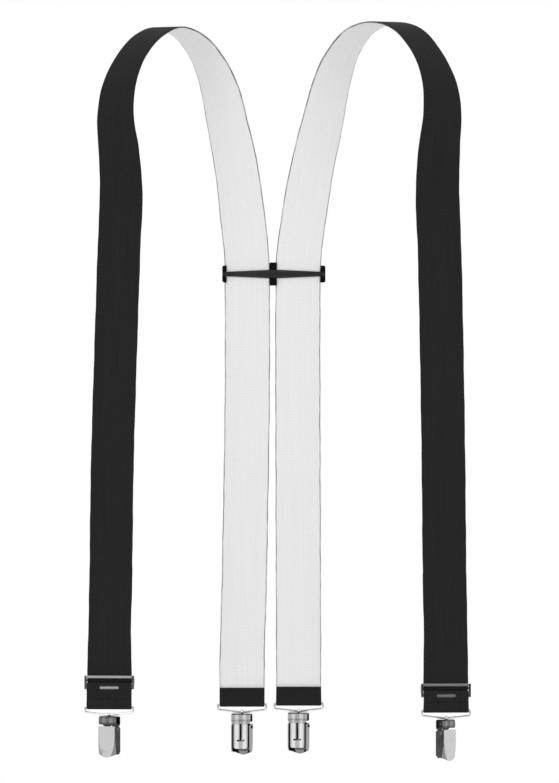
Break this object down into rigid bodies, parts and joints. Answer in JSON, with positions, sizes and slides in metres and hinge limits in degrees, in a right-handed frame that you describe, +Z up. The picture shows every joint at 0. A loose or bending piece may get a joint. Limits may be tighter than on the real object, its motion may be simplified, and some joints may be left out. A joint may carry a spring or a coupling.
{
  "type": "suspenders",
  "caption": "Clip-on suspenders of wide elastic webbing with a back crosspiece, front length adjusters and clips on swivels.",
  "frame": {"origin": "midway between the tops of the two shoulder arches", "axes": "+Z up, -Y towards the side of the two front legs, +X to the right of someone looking at the front legs"},
  "size_m": [0.2991, 0.0928, 0.5722],
  "materials": {
    "webbing": "woven elastic, black outside and white inside",
    "nickel": "bright nickel plate",
    "plastic": "moulded, satin black"
  },
  "bodies": {
    "straps": {"left_strap_front": "webbing", "left_strap_arch": "webbing", "left_strap_back": "webbing", "right_strap_front": "webbing", "right_strap_arch": "webbing", "right_strap_back": "webbing"},
    "crosspiece": {"crosspiece_plate": "plastic", "crosspiece_bar": "plastic"},
    "left_adjuster": {"left_adjuster_frame": "nickel", "left_strap_turn": "webbing", "left_ring_tab": "webbing"},
    "front_left_ring": {"front_left_ring": "nickel", "front_left_swivel": "nickel"},
    "front_left_clip": {"front_left_clip_body": "nickel", "front_left_clip_pin": "nickel"},
    "front_left_lever": {"front_left_clip_lever": "nickel"},
    "front_left_jaw": {"front_left_clip_jaw": "nickel"},
    "back_left_ring": {"back_left_ring": "nickel", "back_left_swivel": "nickel"},
    "back_left_clip": {"back_left_clip_body": "nickel", "back_left_clip_pin": "nickel"},
    "back_left_lever": {"back_left_clip_lever": "nickel"},
    "back_left_jaw": {"back_left_clip_jaw": "nickel"},
    "right_adjuster": {"right_adjuster_frame": "nickel", "right_strap_turn": "webbing", "right_ring_tab": "webbing"},
    "front_right_ring": {"front_right_ring": "nickel", "front_right_swivel": "nickel"},
    "front_right_clip": {"front_right_clip_body": "nickel", "front_right_clip_pin": "nickel"},
    "front_right_lever": {"front_right_clip_lever": "nickel"},
    "front_right_jaw": {"front_right_clip_jaw": "nickel"},
    "back_right_ring": {"back_right_ring": "nickel", "back_right_swivel": "nickel"},
    "back_right_clip": {"back_right_clip_body": "nickel", "back_right_clip_pin": "nickel"},
    "back_right_lever": {"back_right_clip_lever": "nickel"},
    "back_right_jaw": {"back_right_clip_jaw": "nickel"}
  },
  "joints": [
    {"name": "crosspiece_slide", "type": "slide", "parent": "straps", "child": "crosspiece", "axis": [0, 0, -1], "range_m": [0, 0.12]},
    {"name": "left_adjuster_slide", "type": "slide", "parent": "straps", "child": "left_adjuster", "axis": [0, 0, -1], "range_m": [0, 0.08]},
    {"name": "front_left_ring_hinge", "type": "hinge", "parent": "left_adjuster", "child": "front_left_ring", "pos_m": [-0.12622, -0.03058, -0.52725], "axis": [0.9903, -0.1392, 0], "range_deg": [-80, 80]},
    {"name": "front_left_swivel", "type": "hinge", "parent": "front_left_ring", "child": "front_left_clip", "pos_m": [-0.12622, -0.03058, -0.5349], "axis": [0, 0, 1], "continuous": true},
    {"name": "front_left_lever_hinge", "type": "hinge", "parent": "front_left_clip", "child": "front_left_lever", "pos_m": [-0.12692, -0.0318, -0.5454], "axis": [-0.866, 0.5, 0], "range_deg": [0, 95]},
    {"name": "front_left_jaw_hinge", "type": "hinge", "parent": "front_left_clip", "child": "front_left_jaw", "pos_m": [-0.12692, -0.0318, -0.5454], "axis": [-0.866, 0.5, 0], "range_deg": [0, 14]},
    {"name": "back_left_ring_hinge", "type": "hinge", "parent": "straps", "child": "back_left_ring", "pos_m": [-0.0237, 0.0352, -0.52655], "axis": [-1, 0, 0], "range_deg": [-80, 80]},
    {"name": "back_left_swivel", "type": "hinge", "parent": "back_left_ring", "child": "back_left_clip", "pos_m": [-0.0237, 0.0352, -0.5342], "axis": [0, 0, 1], "continuous": true},
    {"name": "back_left_lever_hinge", "type": "hinge", "parent": "back_left_clip", "child": "back_left_lever", "pos_m": [-0.02329, 0.03654, -0.5447], "axis": [0.9563, -0.2924, 0], "range_deg": [0, 95]},
    {"name": "back_left_jaw_hinge", "type": "hinge", "parent": "back_left_clip", "child": "back_left_jaw", "pos_m": [-0.02329, 0.03654, -0.5447], "axis": [0.9563, -0.2924, 0], "range_deg": [0, 14]},
    {"name": "right_adjuster_slide", "type": "slide", "parent": "straps", "child": "right_adjuster", "axis": [0, 0, -1], "range_m": [0, 0.08]},
    {"name": "front_right_ring_hinge", "type": "hinge", "parent": "right_adjuster", "child": "front_right_ring", "pos_m": [0.13409, -0.03059, -0.52985], "axis": [0.9925, 0.1219, 0], "range_deg": [-80, 80]},
    {"name": "front_right_swivel", "type": "hinge", "parent": "front_right_ring", "child": "front_right_clip", "pos_m": [0.13409, -0.03059, -0.5375], "axis": [0, 0, 1], "continuous": true},
    {"name": "front_right_lever_hinge", "type": "hinge", "parent": "front_right_clip", "child": "front_right_lever", "pos_m": [0.13517, -0.03149, -0.548], "axis": [-0.6428, -0.766, 0], "range_deg": [0, 95]},
    {"name": "front_right_jaw_hinge", "type": "hinge", "parent": "front_right_clip", "child": "front_right_jaw", "pos_m": [0.13517, -0.03149, -0.548], "axis": [-0.6428, -0.766, 0], "range_deg": [0, 14]},
    {"name": "back_right_ring_hinge", "type": "hinge", "parent": "straps", "child": "back_right_ring", "pos_m": [0.0203, 0.0352, -0.52575], "axis": [-1, 0, 0], "range_deg": [-80, 80]},
    {"name": "back_right_swivel", "type": "hinge", "parent": "back_right_ring", "child": "back_right_clip", "pos_m": [0.0203, 0.0352, -0.5334], "axis": [0, 0, 1], "continuous": true},
    {"name": "back_right_lever_hinge", "type": "hinge", "parent": "back_right_clip", "child": "back_right_lever", "pos_m": [0.02071, 0.03654, -0.5439], "axis": [0.9563, -0.2924, 0], "range_deg": [0, 95]},
    {"name": "back_right_jaw_hinge", "type": "hinge", "parent": "back_right_clip", "child": "back_right_jaw", "pos_m": [0.02071, 0.03654, -0.5439], "axis": [0.9563, -0.2924, 0], "range_deg": [0, 14]}
  ],
  "couplings": [
    {"joint": "front_left_jaw_hinge", "follows": "front_left_lever_hinge", "ratio": 0.14737},
    {"joint": "back_left_jaw_hinge", "follows": "back_left_lever_hinge", "ratio": 0.14737},
    {"joint": "front_right_jaw_hinge", "follows": "front_right_lever_hinge", "ratio": 0.14737},
    {"joint": "back_right_jaw_hinge", "follows": "back_right_lever_hinge", "ratio": 0.14737}
  ]
}
